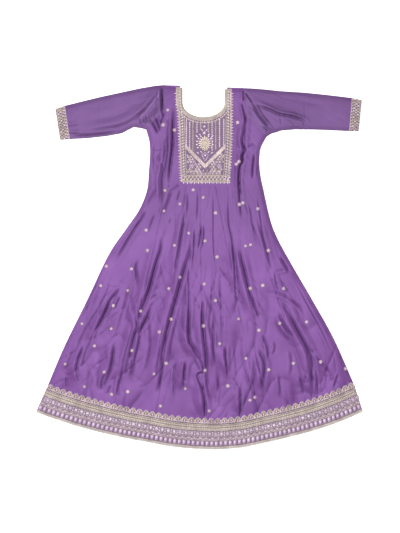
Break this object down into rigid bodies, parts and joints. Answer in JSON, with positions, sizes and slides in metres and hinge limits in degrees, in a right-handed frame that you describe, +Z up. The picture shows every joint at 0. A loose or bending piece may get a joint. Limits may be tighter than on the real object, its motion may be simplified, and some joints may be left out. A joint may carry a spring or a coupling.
{
  "type": "anarkali kurta",
  "caption": "Long flared kurta laid flat, with a deep round neck, an embroidered yoke, three-quarter sleeves with cuff bands and a wide embroidered hem band.",
  "frame": {"origin": "middle of the garment's box on the surface that it lies on, under the skirt", "axes": "+X to the right across the garment, +Y from hem to neck, +Z up off the surface"},
  "size_m": [1.208, 1.348, 0.0196],
  "materials": {
    "satin": "soft silk satin with a low sheen",
    "zari": "dense dull gold thread and sequin work on satin",
    "binding": "dull gold thread"
  },
  "bodies": {
    "root": {"front_bodice": "satin", "yoke_embroidery": "zari", "neck_binding_front": "binding", "neck_binding_back": "binding", "front_side_left": "satin", "front_side_right": "satin", "front_kali_1": "satin", "front_kali_2": "satin", "front_kali_3": "satin", "front_kali_4": "satin", "hem_band_front": "zari", "back_bodice": "satin", "back_side_left": "satin", "back_side_right": "satin", "back_kali_left": "satin", "back_kali_right": "satin", "hem_band_back": "zari", "sleeve_left": "satin", "sleeve_right": "satin", "cuff_left": "zari", "cuff_right": "zari"}
  },
  "joints": []
}
